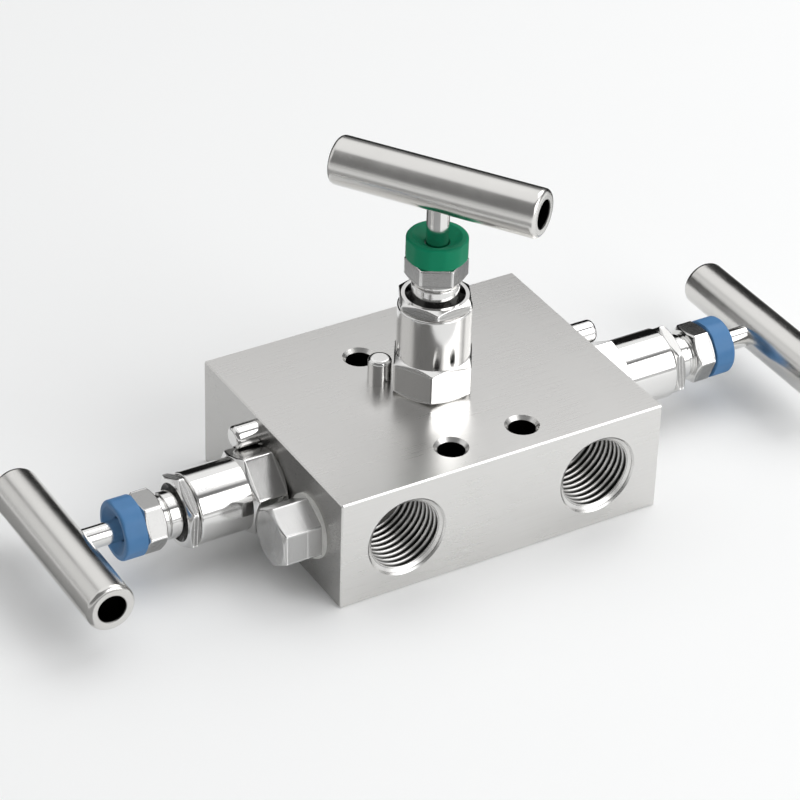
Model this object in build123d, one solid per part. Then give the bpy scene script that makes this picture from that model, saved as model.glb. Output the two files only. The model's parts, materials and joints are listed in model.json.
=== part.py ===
from build123d import *
import math
import os

# Three-valve instrument manifold, in millimetres.
# Origin: centre of the block's bottom face. +Z up, +X along the front face, -Y out of the front face.
# The two front ports lead to the instrument and the two back ports come from the process line. The left
# and right valves each shut one line, and the top valve joins the two lines on their instrument side.

# ---- block ----
BLOCK_LENGTH = 90.0
BLOCK_DEPTH = 70.0
BLOCK_HEIGHT = 30.0
BLOCK_EDGE = 0.35

# ---- ports: half-inch taper pipe thread at the 54 mm centres of differential-pressure instruments ----
PORT_SPACING = 54.0
PORT_CREST_RADIUS = 9.2
PORT_THREAD_HEIGHT = 1.1
PORT_PITCH = 1.814
PORT_TURNS = 10
PORT_CREST_FLAT = 0.35
PORT_ROOT_FLAT = 0.2
PORT_MOUTH_MARGIN = 0.45
PORT_RUNOUT = 1.5
DRILL_POINT_SLOPE = 31.0

# ---- passages between ports and valves ----
CHANNEL_RADIUS = 2.0
ORIFICE_RADIUS = 2.25
ORIFICE_LENGTH = 6.0
SEAT_WALL = 0.75

# ---- mounting holes in the top face ----
MOUNT_SPACING_X = 20.0
MOUNT_SPACING_Y = 44.5
MOUNT_SHIFT_Y = -3.75
MOUNT_HOLE_RADIUS = 3.4
MOUNT_HOLE_DEPTH = 14.0
MOUNT_MOUTH_RADIUS = 4.35

# ---- bonnet and its seal ----
BONNET_THREAD_RADIUS = 8.0
BONNET_THREAD_LENGTH = 9.0
BONNET_HEX_MARGIN = 0.3
BONNET_HEX_HEIGHT = 9.5
BONNET_WALL = 3.2
BONNET_BODY_HEIGHT = 13.8
SEAL_THICKNESS = 0.8
SEAL_WIDTH = 2.3
CHAMBER_HEIGHT = 5.2

# ---- stem and needle ----
STEM_RADIUS = 2.8
STEM_THREAD_STEP = 1.2
STEM_THREAD_LENGTH = 9.0
STEM_THREAD_PITCH = 1.0
STEM_THREAD_SET = 0.9
STEM_TURNS = 3.0
STEM_RUNOUT = 0.6
STEM_FOOT_LENGTH = 2.9
STEM_STOP_GAP = 0.3
NEEDLE_MARGIN = 0.3
NEEDLE_HALF_ANGLE = 30.0
NEEDLE_TIP_RADIUS = 0.9
SEAT_CHAMFER = 0.35
SWIVEL_NECK_RADIUS = 1.5
SWIVEL_NECK_LENGTH = 1.5
SWIVEL_BUTTON_STEP = 0.5
SWIVEL_BUTTON_LENGTH = 2.0

# ---- packing ----
PACKING_BORE_RADIUS = 6.0
NECK_LENGTH = 1.2
WASHER_THICKNESS = 1.2
PACKING_RING_HEIGHT = 2.8
GLAND_HEIGHT = 3.0

# ---- packing bolt, lock nut and dust cap ----
BOLT_SHANK = 16.0
BOLT_HEX_MARGIN = 0.8
BOLT_HEX_HEIGHT = 5.6
BOLT_NOSE_RADIUS = 4.6
BOLT_NOSE_HEIGHT = 3.0
NUT_HEX_MARGIN = 2.6
NUT_THICKNESS = 3.0
NUT_MOUTH_MARGIN = 1.4
CAP_RADIUS = 7.6
CAP_FLAT_CUT = 0.4
CAP_HEIGHT = 5.7
CAP_EDGE = 0.6
CAP_RIM = 1.4
CAP_DISH_DEPTH = 1.6

# ---- handle and its grub screw ----
HANDLE_RADIUS = 6.15
HANDLE_LENGTH = 54.4
HANDLE_EDGE = 2.0
HANDLE_GAP = 7.35
HANDLE_CROWN = 3.0
HANDLE_BORE_RADIUS = 3.5
HANDLE_BORE_DEPTH = 12.0
SCREW_RADIUS = 2.5
SCREW_LENGTH = 7.0
SCREW_POINT_RADIUS = 1.4
SCREW_POINT_LENGTH = 1.1
SCREW_SOCKET = 2.5
SCREW_SOCKET_DEPTH = 2.5
STEM_FLAT_DEPTH = 0.5
STEM_FLAT_MARGIN = 0.3

# ---- bonnet lock pins ----
PIN_RADIUS = 3.0
PIN_STAND = 6.9
PIN_DEPTH = 7.0
PIN_DOME = 0.7

# ---- vent plug in the left face ----
VENT_BONNET_GAP = 1.5
VENT_COLLAR_RADIUS = 9.0
VENT_COLLAR_HEIGHT = 3.7
VENT_HEX = 14.0
VENT_HEX_HEIGHT = 7.3
VENT_HEX_TURN = 92.0
VENT_THREAD_RADIUS = 6.6
VENT_THREAD_LENGTH = 5.5
VENT_HOLE_SPARE = 0.7
VENT_SEAL_WIDTH = 1.6
VENT_SEAL_THICKNESS = 0.8
VENT_DRILL_RADIUS = 1.5

# ---- bevels and clearances ----
HEX_BEVEL_SLOPE = 30.0
HEX_BEVEL_MARGIN = 0.25
EDGE_BEVEL = 0.5
THREAD_CLEARANCE = 0.05
STEM_CLEARANCE = 0.05
PACKING_CLEARANCE = 0.03
GLAND_CLEARANCE = 0.05
CAP_CLEARANCE = 0.3
SWIVEL_CLEARANCE = 0.05
SEAT_CLEARANCE = 0.02
PIN_CLEARANCE = 0.06

# ---- the three valves: a corner of each hexagon, the lock pin and the handle, by their turn in degrees
#      about the valve's own axis, counted from its X direction ----
VALVES = {
    "top": {"bonnet": 58.0, "nut": 3.0, "bolt": 30.0, "pin": 147.0, "handle": -56.4},
    "left": {"bonnet": 18.0, "nut": 25.0, "bolt": 57.0, "pin": -57.0, "handle": 0.0},
    "right": {"bonnet": 28.0, "nut": 20.0, "bolt": 53.0, "pin": 57.0, "handle": 0.0},
}
PIN_MAX_OFFSET = 15.0

# ---- places in the block that follow from the sizes ----
AXIS_HEIGHT = BLOCK_HEIGHT / 2
PORT_X = PORT_SPACING / 2
PORT_ROOT_RADIUS = PORT_CREST_RADIUS + PORT_THREAD_HEIGHT
PORT_MOUTH_RADIUS = PORT_ROOT_RADIUS + PORT_MOUTH_MARGIN
PORT_DEPTH = PORT_MOUTH_MARGIN + PORT_TURNS * PORT_PITCH + PORT_RUNOUT
PORT_FLOOR_Y = BLOCK_DEPTH / 2 - PORT_DEPTH

# ---- places along a valve, counted outwards from the block face that carries it ----
NOSE_END = -BONNET_THREAD_LENGTH
CHAMBER_END = NOSE_END - SEAL_THICKNESS
SEAT = CHAMBER_END - CHAMBER_HEIGHT
CHAMBER_MIDDLE = (CHAMBER_END + SEAT) / 2
ORIFICE_JOINT = SEAT - SEAT_WALL - ORIFICE_RADIUS
STEM_THREAD_LOW = NOSE_END + STEM_THREAD_SET
STEM_THREAD_HIGH = STEM_THREAD_LOW + STEM_THREAD_LENGTH
STEM_LIFT = STEM_TURNS * STEM_THREAD_PITCH
BACKSEAT = STEM_THREAD_HIGH + STEM_LIFT + STEM_STOP_GAP
PACKING_FLOOR = BACKSEAT + NECK_LENGTH
LOWER_RING = PACKING_FLOOR + WASHER_THICKNESS
UPPER_RING = LOWER_RING + PACKING_RING_HEIGHT
GLAND = UPPER_RING + PACKING_RING_HEIGHT
BOLT_END = GLAND + GLAND_HEIGHT
BOLT_HEX = BOLT_END + BOLT_SHANK
BOLT_FACE = BOLT_HEX + BOLT_HEX_HEIGHT
CAP_FACE = BOLT_FACE + CAP_HEIGHT
HANDLE_AXIS = CAP_FACE + HANDLE_GAP + HANDLE_RADIUS
STEM_END = HANDLE_AXIS + HANDLE_RADIUS - HANDLE_CROWN
BONNET_TOP = BONNET_HEX_HEIGHT + BONNET_BODY_HEIGHT
FOOT_END = STEM_THREAD_LOW - STEM_FOOT_LENGTH

# ---- radii and widths that follow from the sizes ----
CHAMBER_RADIUS = BONNET_THREAD_RADIUS - SEAL_WIDTH
STEM_THREAD_RADIUS = STEM_RADIUS + STEM_THREAD_STEP
STEM_BORE_RADIUS = STEM_RADIUS + STEM_CLEARANCE
BONNET_BODY_RADIUS = PACKING_BORE_RADIUS + BONNET_WALL
BONNET_HEX = 2 * (BONNET_BODY_RADIUS + BONNET_HEX_MARGIN)
NUT_HEX = 2 * (PACKING_BORE_RADIUS + NUT_HEX_MARGIN)
BOLT_HEX_WIDTH = 2 * (PACKING_BORE_RADIUS + BOLT_HEX_MARGIN)
SEAT_RADIUS = ORIFICE_RADIUS + SEAT_CHAMFER
NEEDLE_RADIUS = SEAT_RADIUS + NEEDLE_MARGIN
BUTTON_RADIUS = SWIVEL_NECK_RADIUS + SWIVEL_BUTTON_STEP
PIN_CIRCLE = (BONNET_HEX / 2 + PIN_CLEARANCE + PIN_RADIUS) / math.cos(math.radians(PIN_MAX_OFFSET))
VENT_Y = -(BONNET_HEX / 2 + VENT_BONNET_GAP + VENT_COLLAR_RADIUS)


def turned(corners):
    """Solid of revolution about local Z whose half section has the given (radius, height) corners."""
    outline = Polyline(*[(radius, 0, height) for radius, height in corners], close=True)
    return revolve(make_face(outline), Axis.Z)


def ring(outer, inner, low, high):
    """Plain ring about local Z."""
    return turned([(inner, low), (outer, low), (outer, high), (inner, high)])


def rod(radius, low, high):
    """Plain round rod about local Z."""
    return turned([(0, low), (radius, low), (radius, high), (0, high)])


def drilling(start, end, radius):
    """Straight drilled passage between two points."""
    run = Vector(*end) - Vector(*start)
    cylinder = Cylinder(radius, run.length, align=(Align.CENTER, Align.CENTER, Align.MIN))
    return Plane(origin=start, z_dir=run).location * cylinder


def hexagon(width, low, high, turn):
    """Hexagon bar with both ends bevelled to a circle; turn is the angle of one corner."""
    corner = width / math.sqrt(3)
    angles = [math.radians(turn + 60 * i) for i in range(6)]
    outline = Polyline(*[(corner * math.cos(a), corner * math.sin(a), low) for a in angles], close=True)
    prism = extrude(make_face(outline), amount=high - low, dir=(0, 0, 1))
    face = width / 2 - HEX_BEVEL_MARGIN
    bevel = (corner - face) * math.tan(math.radians(HEX_BEVEL_SLOPE))
    barrel = turned([
        (0, low), (face, low), (corner, low + bevel), (corner, high - bevel), (face, high), (0, high),
    ])
    return prism & barrel


# ---- block ----
def port_void():
    """Threaded port, its mouth at height 0, running to +Z: mouth bevel, thread grooves, drill point.

    The bevel ends at the root of the first groove, so the thread starts right behind it.
    """
    flank = (PORT_PITCH - PORT_CREST_FLAT - PORT_ROOT_FLAT) / 2
    corners = [(0, 0), (PORT_MOUTH_RADIUS, 0)]
    for turn in range(PORT_TURNS):
        root = PORT_MOUTH_MARGIN + turn * PORT_PITCH
        crest = root + PORT_ROOT_FLAT + flank
        corners += [
            (PORT_ROOT_RADIUS, root), (PORT_ROOT_RADIUS, root + PORT_ROOT_FLAT),
            (PORT_CREST_RADIUS, crest), (PORT_CREST_RADIUS, crest + PORT_CREST_FLAT),
        ]
    point = PORT_CREST_RADIUS * math.tan(math.radians(DRILL_POINT_SLOPE))
    corners += [(PORT_CREST_RADIUS, PORT_DEPTH), (0, PORT_DEPTH + point)]
    return turned(corners)


def mounting_hole():
    """Tapped hole seen from above, its mouth at height 0."""
    bevel = MOUNT_MOUTH_RADIUS - MOUNT_HOLE_RADIUS
    point = MOUNT_HOLE_RADIUS * math.tan(math.radians(DRILL_POINT_SLOPE))
    return turned([
        (0, 0), (MOUNT_MOUTH_RADIUS, 0), (MOUNT_HOLE_RADIUS, -bevel),
        (MOUNT_HOLE_RADIUS, -MOUNT_HOLE_DEPTH), (0, -MOUNT_HOLE_DEPTH - point),
    ])


def valve_void():
    """Bonnet bore, needle chamber, conical seat and orifice of one valve."""
    seat_depth = SEAT_CHAMFER / math.tan(math.radians(NEEDLE_HALF_ANGLE))
    orifice_end = SEAT - ORIFICE_LENGTH
    return turned([
        (0, 0), (BONNET_THREAD_RADIUS, 0), (BONNET_THREAD_RADIUS, CHAMBER_END),
        (CHAMBER_RADIUS, CHAMBER_END), (CHAMBER_RADIUS, SEAT), (SEAT_RADIUS, SEAT),
        (ORIFICE_RADIUS, SEAT - seat_depth), (ORIFICE_RADIUS, orifice_end), (0, orifice_end),
    ])


def vent_void():
    """Hole for the vent plug and the small drilling from it into the left front port."""
    hole_end = -VENT_THREAD_LENGTH - VENT_HOLE_SPARE
    wall_to_port = BLOCK_LENGTH / 2 - PORT_X
    return rod(VENT_THREAD_RADIUS, hole_end, 0) + rod(VENT_DRILL_RADIUS, -wall_to_port, hole_end)


def passages():
    """Drillings that join each port to its valve, and both lines to the top valve."""
    chamber_x = BLOCK_LENGTH / 2 + CHAMBER_MIDDLE
    joint_x = BLOCK_LENGTH / 2 + ORIFICE_JOINT
    above_seat = (0, 0, BLOCK_HEIGHT + CHAMBER_MIDDLE)
    below_seat = (0, 0, BLOCK_HEIGHT + ORIFICE_JOINT)
    runs = [
        drilling((-joint_x, 0, AXIS_HEIGHT), above_seat, CHANNEL_RADIUS),
        drilling((joint_x, 0, AXIS_HEIGHT), below_seat, CHANNEL_RADIUS),
    ]
    for side in (-1, 1):
        process_floor = (side * PORT_X, PORT_FLOOR_Y, AXIS_HEIGHT)
        instrument_floor = (side * PORT_X, -PORT_FLOOR_Y, AXIS_HEIGHT)
        runs.append(drilling(process_floor, (side * chamber_x, 0, AXIS_HEIGHT), CHANNEL_RADIUS))
        runs.append(drilling(instrument_floor, (side * joint_x, 0, AXIS_HEIGHT), CHANNEL_RADIUS))
    return runs


def valve_planes():
    """Frame of each valve: Z out of the block, on the face that carries the valve."""
    return {
        "top": Plane(origin=(0, 0, BLOCK_HEIGHT), x_dir=(1, 0, 0), z_dir=(0, 0, 1)),
        "left": Plane(origin=(-BLOCK_LENGTH / 2, 0, AXIS_HEIGHT), x_dir=(0, 1, 0), z_dir=(-1, 0, 0)),
        "right": Plane(origin=(BLOCK_LENGTH / 2, 0, AXIS_HEIGHT), x_dir=(0, 1, 0), z_dir=(1, 0, 0)),
    }


def vent_plane():
    """Frame of the vent plug: Z out of the left face."""
    return Plane(origin=(-BLOCK_LENGTH / 2, VENT_Y, AXIS_HEIGHT), x_dir=(0, 1, 0), z_dir=(-1, 0, 0))


def pin_place(turn):
    """Place of a lock pin in its valve's frame."""
    angle = math.radians(turn)
    return Location((PIN_CIRCLE * math.cos(angle), PIN_CIRCLE * math.sin(angle), 0))


def block():
    """Manifold block with every port, valve bore, passage, mounting hole and pin hole."""
    body = Box(BLOCK_LENGTH, BLOCK_DEPTH, BLOCK_HEIGHT, align=(Align.CENTER, Align.CENTER, Align.MIN))
    body = chamfer(body.edges(), BLOCK_EDGE)
    voids = passages()
    for x in (-PORT_X, PORT_X):
        for side in (-1, 1):
            mouth = Plane(origin=(x, side * BLOCK_DEPTH / 2, AXIS_HEIGHT), z_dir=(0, -side, 0))
            voids.append(mouth.location * port_void())
    for x in (-MOUNT_SPACING_X / 2, MOUNT_SPACING_X / 2):
        for y in (MOUNT_SHIFT_Y - MOUNT_SPACING_Y / 2, MOUNT_SHIFT_Y + MOUNT_SPACING_Y / 2):
            voids.append(Location((x, y, BLOCK_HEIGHT)) * mounting_hole())
    for name, plane in valve_planes().items():
        voids.append(plane.location * valve_void())
        voids.append(plane.location * pin_place(VALVES[name]["pin"]) * rod(PIN_RADIUS, -PIN_DEPTH, 0))
    voids.append(vent_plane().location * vent_void())
    return body - voids


# ---- pieces that stay with the block ----
def bonnet(turn):
    """Valve body: threaded nose, hexagon and round body, with the stem thread, neck and packing bore inside."""
    nose = turned([
        (0, NOSE_END), (BONNET_THREAD_RADIUS - EDGE_BEVEL, NOSE_END),
        (BONNET_THREAD_RADIUS, NOSE_END + EDGE_BEVEL), (BONNET_THREAD_RADIUS, 0), (0, 0),
    ])
    barrel = turned([
        (0, BONNET_HEX_HEIGHT), (BONNET_BODY_RADIUS, BONNET_HEX_HEIGHT),
        (BONNET_BODY_RADIUS, BONNET_TOP - EDGE_BEVEL), (BONNET_BODY_RADIUS - EDGE_BEVEL, BONNET_TOP),
        (0, BONNET_TOP),
    ])
    thread_bore = STEM_THREAD_RADIUS + THREAD_CLEARANCE
    bore = turned([
        (0, NOSE_END), (thread_bore, NOSE_END), (thread_bore, BACKSEAT), (STEM_BORE_RADIUS, BACKSEAT),
        (STEM_BORE_RADIUS, PACKING_FLOOR), (PACKING_BORE_RADIUS, PACKING_FLOOR),
        (PACKING_BORE_RADIUS, BONNET_TOP), (0, BONNET_TOP),
    ])
    return nose + hexagon(BONNET_HEX, 0, BONNET_HEX_HEIGHT, turn) + barrel - bore


def bonnet_seal():
    """Flat seal ring between the bonnet's nose and the shoulder in the block."""
    return ring(BONNET_THREAD_RADIUS, CHAMBER_RADIUS, CHAMBER_END, NOSE_END)


def packing_washer():
    """Metal washer under the packing rings."""
    return ring(PACKING_BORE_RADIUS - GLAND_CLEARANCE, STEM_BORE_RADIUS, PACKING_FLOOR, LOWER_RING)


def packing_ring(low):
    """One packing ring round the stem."""
    return ring(PACKING_BORE_RADIUS, STEM_RADIUS + PACKING_CLEARANCE, low, low + PACKING_RING_HEIGHT)


def gland():
    """Metal ring through which the packing bolt presses on the packing."""
    return ring(PACKING_BORE_RADIUS - GLAND_CLEARANCE, STEM_BORE_RADIUS, GLAND, BOLT_END)


def lock_nut(turn):
    """Thin nut that locks the packing bolt against the bonnet, with a wide bevelled mouth."""
    high = BONNET_TOP + NUT_THICKNESS
    bore = turned([
        (0, BONNET_TOP), (PACKING_BORE_RADIUS, BONNET_TOP), (PACKING_BORE_RADIUS, high - NUT_MOUTH_MARGIN),
        (PACKING_BORE_RADIUS + NUT_MOUTH_MARGIN, high), (0, high),
    ])
    return hexagon(NUT_HEX, BONNET_TOP, high, turn) - bore


def packing_bolt(turn):
    """Hollow hexagon bolt that loads the packing, with a round nose for the dust cap."""
    shank = turned([
        (0, BOLT_END), (PACKING_BORE_RADIUS - EDGE_BEVEL, BOLT_END),
        (PACKING_BORE_RADIUS, BOLT_END + EDGE_BEVEL), (PACKING_BORE_RADIUS, BOLT_HEX), (0, BOLT_HEX),
    ])
    nose_end = BOLT_FACE + BOLT_NOSE_HEIGHT
    nose = rod(BOLT_NOSE_RADIUS, BOLT_FACE, nose_end)
    head = hexagon(BOLT_HEX_WIDTH, BOLT_HEX, BOLT_FACE, turn)
    return shank + head + nose - rod(STEM_BORE_RADIUS, BOLT_END, nose_end)


def dust_cap(turn):
    """Plastic cap on the bolt's nose: six shallow flats, a bevelled rim and a dished mouth round the stem."""
    stem_hole = STEM_RADIUS + CAP_CLEARANCE
    nose_end = BOLT_FACE + BOLT_NOSE_HEIGHT
    round_body = turned([
        (BOLT_NOSE_RADIUS, BOLT_FACE), (CAP_RADIUS, BOLT_FACE), (CAP_RADIUS, CAP_FACE - CAP_EDGE),
        (CAP_RADIUS - CAP_EDGE, CAP_FACE), (CAP_RADIUS - CAP_RIM, CAP_FACE),
        (stem_hole, CAP_FACE - CAP_DISH_DEPTH), (stem_hole, nose_end), (BOLT_NOSE_RADIUS, nose_end),
    ])
    corner = (CAP_RADIUS - CAP_FLAT_CUT) / math.cos(math.radians(30))
    angles = [math.radians(turn + 60 * i) for i in range(6)]
    outline = Polyline(
        *[(corner * math.cos(a), corner * math.sin(a), BOLT_FACE) for a in angles], close=True
    )
    return round_body & extrude(make_face(outline), amount=CAP_HEIGHT, dir=(0, 0, 1))


def lock_pin():
    """Pin that stands in the block against a flat of the bonnet's hexagon, with a bevelled top."""
    return turned([
        (0, -PIN_DEPTH), (PIN_RADIUS, -PIN_DEPTH), (PIN_RADIUS, PIN_STAND - PIN_DOME),
        (PIN_RADIUS - PIN_DOME, PIN_STAND), (0, PIN_STAND),
    ])


def vent_plug():
    """Plug with a threaded shank, a round collar and a hexagon head."""
    recess = ring(VENT_THREAD_RADIUS + VENT_SEAL_WIDTH, VENT_THREAD_RADIUS, 0, VENT_SEAL_THICKNESS)
    collar = turned([
        (0, -VENT_THREAD_LENGTH), (VENT_THREAD_RADIUS - EDGE_BEVEL, -VENT_THREAD_LENGTH),
        (VENT_THREAD_RADIUS, EDGE_BEVEL - VENT_THREAD_LENGTH), (VENT_THREAD_RADIUS, 0),
        (VENT_COLLAR_RADIUS, 0), (VENT_COLLAR_RADIUS, VENT_COLLAR_HEIGHT - EDGE_BEVEL),
        (VENT_COLLAR_RADIUS - EDGE_BEVEL, VENT_COLLAR_HEIGHT), (0, VENT_COLLAR_HEIGHT),
    ])
    head_end = VENT_COLLAR_HEIGHT + VENT_HEX_HEIGHT
    return collar + hexagon(VENT_HEX, VENT_COLLAR_HEIGHT, head_end, VENT_HEX_TURN) - recess


def vent_seal():
    """Seal ring let into the underside of the plug's collar."""
    return ring(VENT_THREAD_RADIUS + VENT_SEAL_WIDTH, VENT_THREAD_RADIUS, 0, VENT_SEAL_THICKNESS)


# ---- pieces that move ----
def needle():
    """Needle that rises without turning: a cone for the seat, and a button held in the stem's foot."""
    slope = math.tan(math.radians(NEEDLE_HALF_ANGLE))
    closed_radius = SEAT_RADIUS - SEAT_CLEARANCE / math.cos(math.radians(NEEDLE_HALF_ANGLE))
    cone_start = SEAT + (NEEDLE_RADIUS - closed_radius) / slope
    cone_end = cone_start - (NEEDLE_RADIUS - NEEDLE_TIP_RADIUS) / slope
    head_end = FOOT_END - SWIVEL_CLEARANCE
    button_low = FOOT_END + SWIVEL_NECK_LENGTH + SWIVEL_CLEARANCE
    button_high = button_low + SWIVEL_BUTTON_LENGTH
    return turned([
        (0, cone_end), (NEEDLE_TIP_RADIUS, cone_end), (NEEDLE_RADIUS, cone_start), (NEEDLE_RADIUS, head_end),
        (SWIVEL_NECK_RADIUS, head_end), (SWIVEL_NECK_RADIUS, button_low), (BUTTON_RADIUS, button_low),
        (BUTTON_RADIUS, button_high), (0, button_high),
    ])


def stem():
    """Stem with its foot, its thread and the long rod to the handle; a flat near the top takes the screw."""
    neck = SWIVEL_NECK_RADIUS + SWIVEL_CLEARANCE
    socket = BUTTON_RADIUS + SWIVEL_CLEARANCE
    socket_low = FOOT_END + SWIVEL_NECK_LENGTH
    socket_high = socket_low + SWIVEL_BUTTON_LENGTH + 2 * SWIVEL_CLEARANCE
    foot_radius = STEM_THREAD_RADIUS - STEM_RUNOUT
    body = turned([
        (neck, FOOT_END), (foot_radius, FOOT_END), (foot_radius, STEM_THREAD_LOW),
        (STEM_THREAD_RADIUS, STEM_THREAD_LOW), (STEM_THREAD_RADIUS, STEM_THREAD_HIGH),
        (STEM_RADIUS, STEM_THREAD_HIGH), (STEM_RADIUS, STEM_END), (0, STEM_END),
        (0, socket_high), (socket, socket_high), (socket, socket_low), (neck, socket_low),
    ])
    flat_height = 2 * (SCREW_POINT_RADIUS + STEM_FLAT_MARGIN)
    flat = Box(STEM_FLAT_DEPTH, 2 * STEM_RADIUS, flat_height, align=(Align.MAX, Align.CENTER, Align.CENTER))
    return body - Location((STEM_RADIUS, 0, HANDLE_AXIS)) * flat


def along_handle(shape):
    """Place a shape made about Z on the handle's axis, its +Z along the handle."""
    return Plane(origin=(0, 0, HANDLE_AXIS), x_dir=(0, 1, 0), z_dir=(1, 0, 0)).location * shape


def handle_bar():
    """Round cross bar with rounded rims, drilled ends, a blind hole for the stem and a screw hole."""
    half = HANDLE_LENGTH / 2
    bar = Cylinder(HANDLE_RADIUS, HANDLE_LENGTH)
    bar = fillet(bar.edges().filter_by(GeomType.CIRCLE), HANDLE_EDGE)
    for side in (-1, 1):
        start = side * (half - HANDLE_BORE_DEPTH)
        bar -= rod(HANDLE_BORE_RADIUS, min(start, side * half), max(start, side * half))
    bar -= rod(SCREW_RADIUS, 0, half - HANDLE_BORE_DEPTH)
    return along_handle(bar) - rod(STEM_RADIUS, HANDLE_AXIS - HANDLE_RADIUS, STEM_END)


def grub_screw():
    """Socket grub screw in the handle, its point on the stem's flat."""
    tip = STEM_RADIUS - STEM_FLAT_DEPTH
    shoulder = tip + SCREW_POINT_LENGTH
    end = shoulder + SCREW_LENGTH
    body = rod(SCREW_POINT_RADIUS, tip, shoulder) + rod(SCREW_RADIUS, shoulder, end)
    socket = Polyline(
        *[(SCREW_SOCKET / math.sqrt(3) * math.cos(math.radians(60 * i)),
           SCREW_SOCKET / math.sqrt(3) * math.sin(math.radians(60 * i)),
           end - SCREW_SOCKET_DEPTH) for i in range(6)],
        close=True,
    )
    return along_handle(body - extrude(make_face(socket), amount=SCREW_SOCKET_DEPTH, dir=(0, 0, 1)))


def valve(turns):
    """All pieces of one valve in its own frame."""
    turned_with_handle = Rotation(0, 0, turns["handle"])
    return {
        "bonnet": bonnet(turns["bonnet"]),
        "bonnet_seal": bonnet_seal(),
        "packing_washer": packing_washer(),
        "packing_ring_lower": packing_ring(LOWER_RING),
        "packing_ring_upper": packing_ring(UPPER_RING),
        "gland": gland(),
        "packing_bolt": packing_bolt(turns["bolt"]),
        "lock_nut": lock_nut(turns["nut"]),
        "dust_cap": dust_cap(turns["bolt"]),
        "lock_pin": pin_place(turns["pin"]) * lock_pin(),
        "needle": needle(),
        "stem": turned_with_handle * stem(),
        "handle": turned_with_handle * handle_bar(),
        "handle_screw": turned_with_handle * grub_screw(),
    }


def nodes():
    """Every sub-part of the manifold in the common frame, by node name."""
    pieces = {
        "block": block(),
        "vent_plug": vent_plane().location * vent_plug(),
        "vent_seal": vent_plane().location * vent_seal(),
    }
    for name, plane in valve_planes().items():
        for part, shape in valve(VALVES[name]).items():
            pieces[f"{part}_{name}"] = plane.location * shape
    return pieces


os.makedirs("parts", exist_ok=True)
for node, shape in nodes().items():
    export_step(shape, f"parts/{node}.step")
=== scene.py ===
import json
import math

import bpy
import numpy as np
from mathutils import Matrix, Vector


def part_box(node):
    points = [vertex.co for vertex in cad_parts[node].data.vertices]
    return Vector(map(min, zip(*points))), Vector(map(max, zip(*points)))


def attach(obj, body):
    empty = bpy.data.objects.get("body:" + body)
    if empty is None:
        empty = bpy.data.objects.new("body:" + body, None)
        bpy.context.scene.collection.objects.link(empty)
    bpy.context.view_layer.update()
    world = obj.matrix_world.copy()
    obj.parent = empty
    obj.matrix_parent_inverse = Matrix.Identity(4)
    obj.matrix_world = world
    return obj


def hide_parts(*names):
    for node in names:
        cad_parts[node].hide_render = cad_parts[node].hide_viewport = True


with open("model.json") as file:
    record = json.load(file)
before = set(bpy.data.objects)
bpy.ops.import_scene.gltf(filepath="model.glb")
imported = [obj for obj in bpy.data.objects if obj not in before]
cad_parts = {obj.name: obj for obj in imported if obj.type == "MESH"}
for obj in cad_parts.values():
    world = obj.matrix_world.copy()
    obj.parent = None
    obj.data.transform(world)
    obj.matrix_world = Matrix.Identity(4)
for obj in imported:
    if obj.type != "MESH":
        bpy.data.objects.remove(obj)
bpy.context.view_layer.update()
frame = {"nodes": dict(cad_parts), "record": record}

# Looks of a three-valve instrument manifold. Sizes of its pieces are in millimetres, as a shop drawing
# has them, and MM turns them into the scene's metres. The stage round it is in metres.

MM = 0.001

# ---- sizes of the valve pieces, counted outwards from the block face that carries the valve ----
# Noses, bodies, shanks, necks and the plug's foot are (radius, end). Hexagons are (width over flats, low,
# high), and the cap, the pin and the plug's groove and collar are (radius, low, high).
BONNET_NOSE = (8.0, -9.0)
BONNET_HEX = (19.0, 0.0, 9.5)
BONNET_BODY = (9.2, 23.3)
BONNET_BORE = (6.0, 6.6)  # radius, height of its floor
NUT_HEX = (17.2, 23.3, 26.3)
NUT_MOUTH = 1.4  # both the depth and the width of the bevel
NUT_WAIST = 24.4  # where the section closes on the bore
BOLT_SHANK = (5.95, 15.2)
BOLT_HEX = (13.6, 31.2, 36.8)
BOLT_NECK = (4.6, 39.8)
BOLT_BORE = 2.85
BOLT_RELIEF_DEPTH = 0.6
BOLT_RELIEF = (1.6, 1.3)  # how far under the head its slope starts and ends
STEM_RADIUS = 2.8
STEM_FROM = -5.0
CAP = (7.6, 36.8, 42.5)
CAP_FLATS = 14.75
CAP_HOLE = STEM_RADIUS + 0.3
CAP_SOCKET = (4.6, 3.0)  # radius, depth
CAP_RIM = 1.5
CAP_DISH = 1.7
HANDLE_AXIS = 56.0
BAR = (6.15, 54.4)  # radius, length
BAR_RIM = 2.0
BAR_BORE = (3.5, 12.0)  # radius, depth
PIN = (3.0, -7.0, 6.9)
PIN_DOME = 1.1
PIN_CROWN = 0.001
PIN_CIRCLE = 12.996
PLUG_SHANK = (6.6, -5.5)
PLUG_FOOT = (8.8, 0.9)
PLUG_GROOVE = (8.3, 1.0, 1.3)
PLUG_COLLAR = (9.0, 1.4, 3.7)
PLUG_HEX = (14.0, 3.7, 11.0)
PLUG_Y = -20.0

# ---- ends of a hexagon: the bevel's angle, its circle inside the flats, and its run past the corners ----
BEVEL_ANGLE = 30.0
BEVEL_INSET = 0.25
BEVEL_RUN, BEVEL_RISE = 0.2, 0.11

# ---- holes of the block ----
PORT_X = 27.0
PORT_THREAD_ROOT = (9.2, 9.7)  # radii between which painted shade darkens the groove of the thread
PORT_REACH = 10.7
PORT_MOUTH_DEPTH = 1.1
MOUNT_X = 10.0
MOUNT_Y = 22.25
MOUNT_SHIFT = -3.75
MOUNT_RADIUS = 3.6
MOUNT_MOUTH_DEPTH = 0.9

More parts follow.
